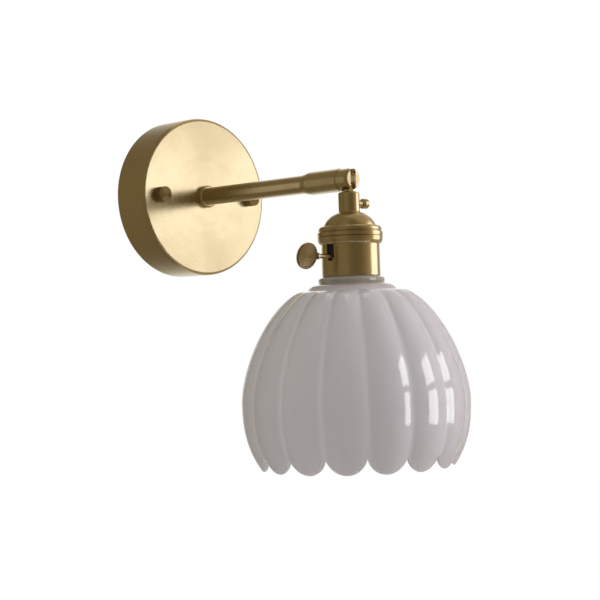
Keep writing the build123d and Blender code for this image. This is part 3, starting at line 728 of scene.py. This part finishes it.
def threadMesh():
    rows = round(thread["length"] / thread["pitch"] * thread["perPitch"])
    middle, swing = (thread["crest"] + thread["root"]) / 2, (thread["crest"] - thread["root"]) / 2
    vertices = []

    def radiusAt(depth, turn, inset):
        phase = 2 * pi * (depth - thread["start"]) / thread["pitch"] - turn
        fromStart, fromEnd = depth - thread["start"], thread["start"] + thread["length"] - depth
        eased = min(1.0, fromEnd / thread["runOut"], fromStart / thread["runOut"])
        return middle + swing - inset - (swing - swing * cos(phase)) * max(0.0, eased)

    rings = []
    for row in range(rows + 1):
        rings.append((thread["start"] + thread["length"] * row / rows, 0.0))
    for row in range(rows, -1, -1):
        depth = thread["start"] + thread["length"] * row / rows
        rings.append((max(depth, thread["start"] + thread["wall"]), thread["wall"]))
    for depth, inset in rings:
        for step in range(thread["around"]):
            turn = 2 * pi * step / thread["around"]
            radius = radiusAt(depth, turn, inset)
            vertices.append((radius * cos(turn), radius * sin(turn), depth))
    for depth in (thread["start"] + thread["wall"], thread["start"]):
        for step in range(thread["around"]):
            turn = 2 * pi * step / thread["around"]
            vertices.append((thread["floorRadius"] * cos(turn), thread["floorRadius"] * sin(turn), depth))
    mesh = bpy.data.meshes.new("screwThread")
    mesh.from_pydata(vertices, [], ringFaces(len(rings) + 2, thread["around"]))
    mesh.validate()
    for face in mesh.polygons:
        face.use_smooth = True
    mesh.transform(headPlace)
    return mesh


screwThread = addObject("screwThread", threadMesh())
screwThread.data.materials.append(nickelPlate)
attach(screwThread, "head")
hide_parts("screw_shell")
print("thread:", len(screwThread.data.polygons), "faces")


# The insulating sleeve lies behind the shell's key slot and lets only the stem through; its near-black
# colour is partly the fibre's own and partly painted shade inside the slot.
liner = {
    "inside": 0.0174,
    "outside": 0.0182,
    "top": 0.0382,
    "bottom": 0.06355,
    "stemDepth": 0.0511,
    "stemHole": 0.0019,
    "around": 96,
    "aroundHole": 24,
}


def turnedMesh(name, outline, count):
    # a closed outline of (radius, depth) points turned round the Z axis
    vertices = []
    for radius, depth in outline:
        for step in range(count):
            turn = 2 * pi * step / count
            vertices.append((radius * cos(turn), radius * sin(turn), depth))
    mesh = bpy.data.meshes.new(name)
    mesh.from_pydata(vertices, [], ringFaces(len(outline), count))
    return mesh


def stemDrill():
    # a bar that leaves the axis towards the key
    count, ends = liner["aroundHole"], (-liner["inside"] / 2, -2 * liner["outside"])
    vertices = []
    for end in ends:
        for step in range(count):
            turn = 2 * pi * step / count
            across, along = liner["stemHole"] * cos(turn), liner["stemHole"] * sin(turn)
            vertices.append((end, across, liner["stemDepth"] + along))
    faces = [(step, count + step, count + (step + 1) % count, (step + 1) % count) for step in range(count)]
    faces += [tuple(range(count)), tuple(range(2 * count - 1, count - 1, -1))]
    mesh = bpy.data.meshes.new("stemDrill")
    mesh.from_pydata(vertices, [], faces)
    return addObject("stemDrill", mesh)


def makeLiner():
    outline = [
        (liner["outside"], liner["top"]), (liner["outside"], liner["bottom"]),
        (liner["inside"], liner["bottom"]), (liner["inside"], liner["top"]),
    ]
    source = addObject("linerSource", turnedMesh("linerSource", outline, liner["around"]))
    source.data.materials.append(slotShadeFibre)
    drill = stemDrill()
    cut = source.modifiers.new("stemHole", "BOOLEAN")
    cut.operation, cut.object, cut.solver = "DIFFERENCE", drill, "EXACT"
    piece = settle("fibreLiner", source, headPlace)
    bpy.data.objects.remove(drill)
    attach(piece, "head")
    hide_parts("shell_liner")
    return piece


fibreLiner = makeLiner()
print("liner:", len(fibreLiner.data.polygons), "faces")


studio = {
    "fill": (0.64, 0.62, 0.588),   # level of the pale room for diffuse light
    "floorDrop": -0.95,
    "aim": (0.0, -0.13, -0.06),
    "domeDistance": 0.88,
    "domeTurns": 120,
    "domeLifts": 24,
    "paleAbove": 0.12,             # the room is this much paler overhead than level
    "floorReach": 6.0,
    "paperScale": 9.0,
    "paper": ((0.8, 0.8, 0.8, 1), (0.84, 0.84, 0.84, 1)),
    "floorGlow": 0.99,             # share of white that the eye sees in place of the paper
}
# azimuths are degrees from the room's side towards +X, rises are degrees above the aim
daylight = (0.85, 0.83, 1.0)
windows = [
    # name, azimuth, rise, distance, size, level, colour, what sees it
    ("softDaylight", 54.0, 12.0, 0.80, (0.95, 0.92), 2.7, daylight, "diffuse"),
    ("windowInBrass", 59.5, 12.0, 0.80, (0.567, 0.646), 1.95, daylight, "brass"),
    ("windowInCanopy", 37.0, 9.0, 0.80, (1.2, 0.34), 1.9, (0.845, 0.87, 1.07), "canopy"),
    ("glowAlongArm", 224.0, 0.0, 0.80, (0.9, 0.9), 0.32, (1, 1, 1), "arm"),
    ("glowAlongSleeve", 224.0, 0.0, 0.80, (0.9, 0.9), 0.13, (1, 1, 1), "sleeve"),
    ("upperPaneInGlass", 33.0, 15.5, 0.78, (0.34, 0.191), 3.0, (1, 1, 1), "glass"),
    ("lowerPaneInGlass", 33.0, -7.0, 0.78, (0.34, 0.303), 3.0, (1, 1, 1), "glass"),
]
# what reflections see round the lamp: azimuth in degrees, level and share of the room's brown
roomTones = [
    (92, 0.4, 0.8), (105, 0.5, 0.4), (120, 0.75, 0.1), (128, 0.95, 0.0), (146, 0.95, 0.0),
    (154, 0.5, 0.2), (170, 0.25, 0.6), (195, 0.2, 1.0), (228, 0.24, 1.0), (252, 0.17, 1.0),
    (270, 0.24, 1.0), (300, 0.24, 1.0), (320, 0.16, 1.0), (350, 0.155, 1.0), (364, 0.21, 1.0),
    (373, 0.26, 1.0), (382, 0.33, 1.0), (392, 0.45, 1.0), (440, 0.4, 1.0), (452, 0.4, 0.8),
]
roomBrown = (1.0, 0.76, 0.47)


def aimed(place, target):
    way = Vector(target) - Vector(place)
    return Matrix.Translation(place) @ way.to_track_quat("-Z", "Y").to_matrix().to_4x4()


def around(azimuth, rise, distance, centre):
    turn, lift = radians(azimuth), radians(rise)
    way = Vector((sin(turn) * cos(lift), -cos(turn) * cos(lift), sin(lift)))
    return Vector(centre) + way * distance


def onlyFor(name, pieces):
    seen = bpy.data.collections.new(name)
    for piece in pieces:
        seen.objects.link(piece)
    return seen


outOfWindow = ("glass_shade", "canopy", "key_disc", "knuckle_tongue", "thumb_nut_left", "thumb_nut_right")
receivers = {
    "glass": onlyFor("glassOnly", [glassShade]),
    "canopy": onlyFor("canopyOnly", [nodes["canopy"]]),
    "arm": onlyFor("armOnly", [nodes["arm_tube"], nodes["arm_collar"]]),
    "sleeve": onlyFor("sleeveOnly", [nodes["knuckle_sleeve"]]),
    "brass": onlyFor("brassOnly", [piece for name, piece in nodes.items() if name not in outOfWindow]),
}


def window(name, azimuth, rise, distance, size, level, colour, seenBy):
    lamp = bpy.data.lights.new(name, "AREA")
    lamp.shape = "RECTANGLE"
    lamp.size, lamp.size_y = size
    lamp.energy = level * pi * size[0] * size[1]
    lamp.color = colour
    holder = addObject(name, lamp)
    holder.matrix_world = aimed(around(azimuth, rise, distance, studio["aim"]), studio["aim"])
    holder.visible_camera = False
    if seenBy == "diffuse":
        holder.visible_glossy = holder.visible_transmission = False
    else:
        holder.visible_diffuse = holder.visible_transmission = False
        holder.light_linking.receiver_collection = receivers[seenBy]


for values in windows:
    window(*values)


def seenByEye(tree):
    # 1 for what the camera sees straight, in a reflection or through glass
    path = addNode(tree, "ShaderNodeLightPath").outputs
    seen = calculate(tree, "MAXIMUM", path["Is Camera Ray"], path["Is Glossy Ray"])
    return calculate(tree, "MAXIMUM", seen, path["Is Transmission Ray"])


def makeWorld():
    world = bpy.data.worlds.new("paleStudio")
    world.use_nodes = True
    tree = world.node_tree
    colour = blendColours(tree, seenByEye(tree), (*studio["fill"], 1.0), (1.0, 1.0, 1.0, 1.0))
    tree.links.new(colour, tree.nodes["Background"].inputs["Color"])
    bpy.context.scene.world = world


makeWorld()


def toneAt(azimuth):
    for (start, *low), (end, *high) in zip(roomTones, roomTones[1:]):
        if azimuth <= end:
            share = (azimuth - start) / (end - start)
            level, brown = [before + (after - before) * share for before, after in zip(low, high)]
            return [level * (1 + (part - 1) * brown) for part in roomBrown]
    return toneAt(roomTones[-1][0])


def roomDome():
    # the dark room round the lamp, which only reflections see
    turns, lifts = studio["domeTurns"], studio["domeLifts"]
    vertices, faces, tones = [], [], []
    for step in range(turns + 1):
        azimuth = roomTones[0][0] + 360 * step / turns
        for level in range(lifts + 1):
            rise = -90 + 180 * level / lifts
            vertices.append(around(azimuth, rise, studio["domeDistance"], studio["aim"]))
            lift = 1 + studio["paleAbove"] * sin(radians(rise))
            tones += [part * lift for part in toneAt(azimuth)] + [1.0]
    for step in range(turns):
        for level in range(lifts):
            first = step * (lifts + 1) + level
            faces.append((first, first + lifts + 1, first + lifts + 2, first + 1))
    mesh = bpy.data.meshes.new("roomDome")
    mesh.from_pydata(vertices, [], faces)
    mesh.attributes.new("tone", "FLOAT_COLOR", "POINT").data.foreach_set("color", tones)
    screen = addObject("roomDome", mesh)
    material, tree, shader = startMaterial("roomTones")
    tone = addNode(tree, "ShaderNodeAttribute", attribute_name="tone").outputs["Color"]
    glow = addNode(tree, "ShaderNodeEmission", {"Color": tone, "Strength": 1.0})
    tree.links.new(glow.outputs[0], tree.nodes["Material Output"].inputs["Surface"])
    mesh.materials.append(material)
    screen.visible_camera = screen.visible_diffuse = False
    screen.visible_shadow = screen.visible_transmission = False


roomDome()


def makeFloor():
    mesh = bpy.data.meshes.new("studioFloor")
    size = studio["floorReach"]
    corners = [(-size, -size), (size, -size), (size, size), (-size, size)]
    mesh.from_pydata([(x, y, studio["floorDrop"]) for x, y in corners], [], [(0, 1, 2, 3)])
    floor = addObject("studioFloor", mesh)
    material, tree, shader = startMaterial("floorPaper")
    paper = addNode(tree, "ShaderNodeTexNoise", {"Scale": studio["paperScale"], "Detail": 3.0})
    tone = blendColours(tree, paper.outputs["Fac"], *studio["paper"])
    tree.links.new(tone, shader.inputs["Base Color"])
    shader.inputs["Roughness"].default_value = 0.9
    glow = addNode(tree, "ShaderNodeEmission", {"Color": (1, 1, 1, 1), "Strength": 1.0})
    share = calculate(tree, "MULTIPLY", seenByEye(tree), studio["floorGlow"])
    mixed = addNode(tree, "ShaderNodeMixShader", {0: share, 1: shader.outputs[0], 2: glow.outputs[0]})
    tree.links.new(mixed.outputs[0], tree.nodes["Material Output"].inputs["Surface"])
    mesh.materials.append(material)


makeFloor()

camera = {
    "target": (0.00504, -0.120, -0.0779),
    "azimuth": -44.18,
    "rise": -1.02,
    "distance": 1.02745,
    "roll": radians(-1.59),
    "lens": 90.0,
    "sensor": 36.0,
}
lens = bpy.data.cameras.new("photoCamera")
lens.lens = camera["lens"]
lens.sensor_width = camera["sensor"]
holder = addObject("photoCamera", lens)
place = around(camera["azimuth"], camera["rise"], camera["distance"], camera["target"])
holder.matrix_world = aimed(place, camera["target"]) @ Matrix.Rotation(camera["roll"], 4, "Z")
bpy.context.scene.camera = holder
bpy.context.scene.view_settings.view_transform = "Standard"
print("studio and camera placed")
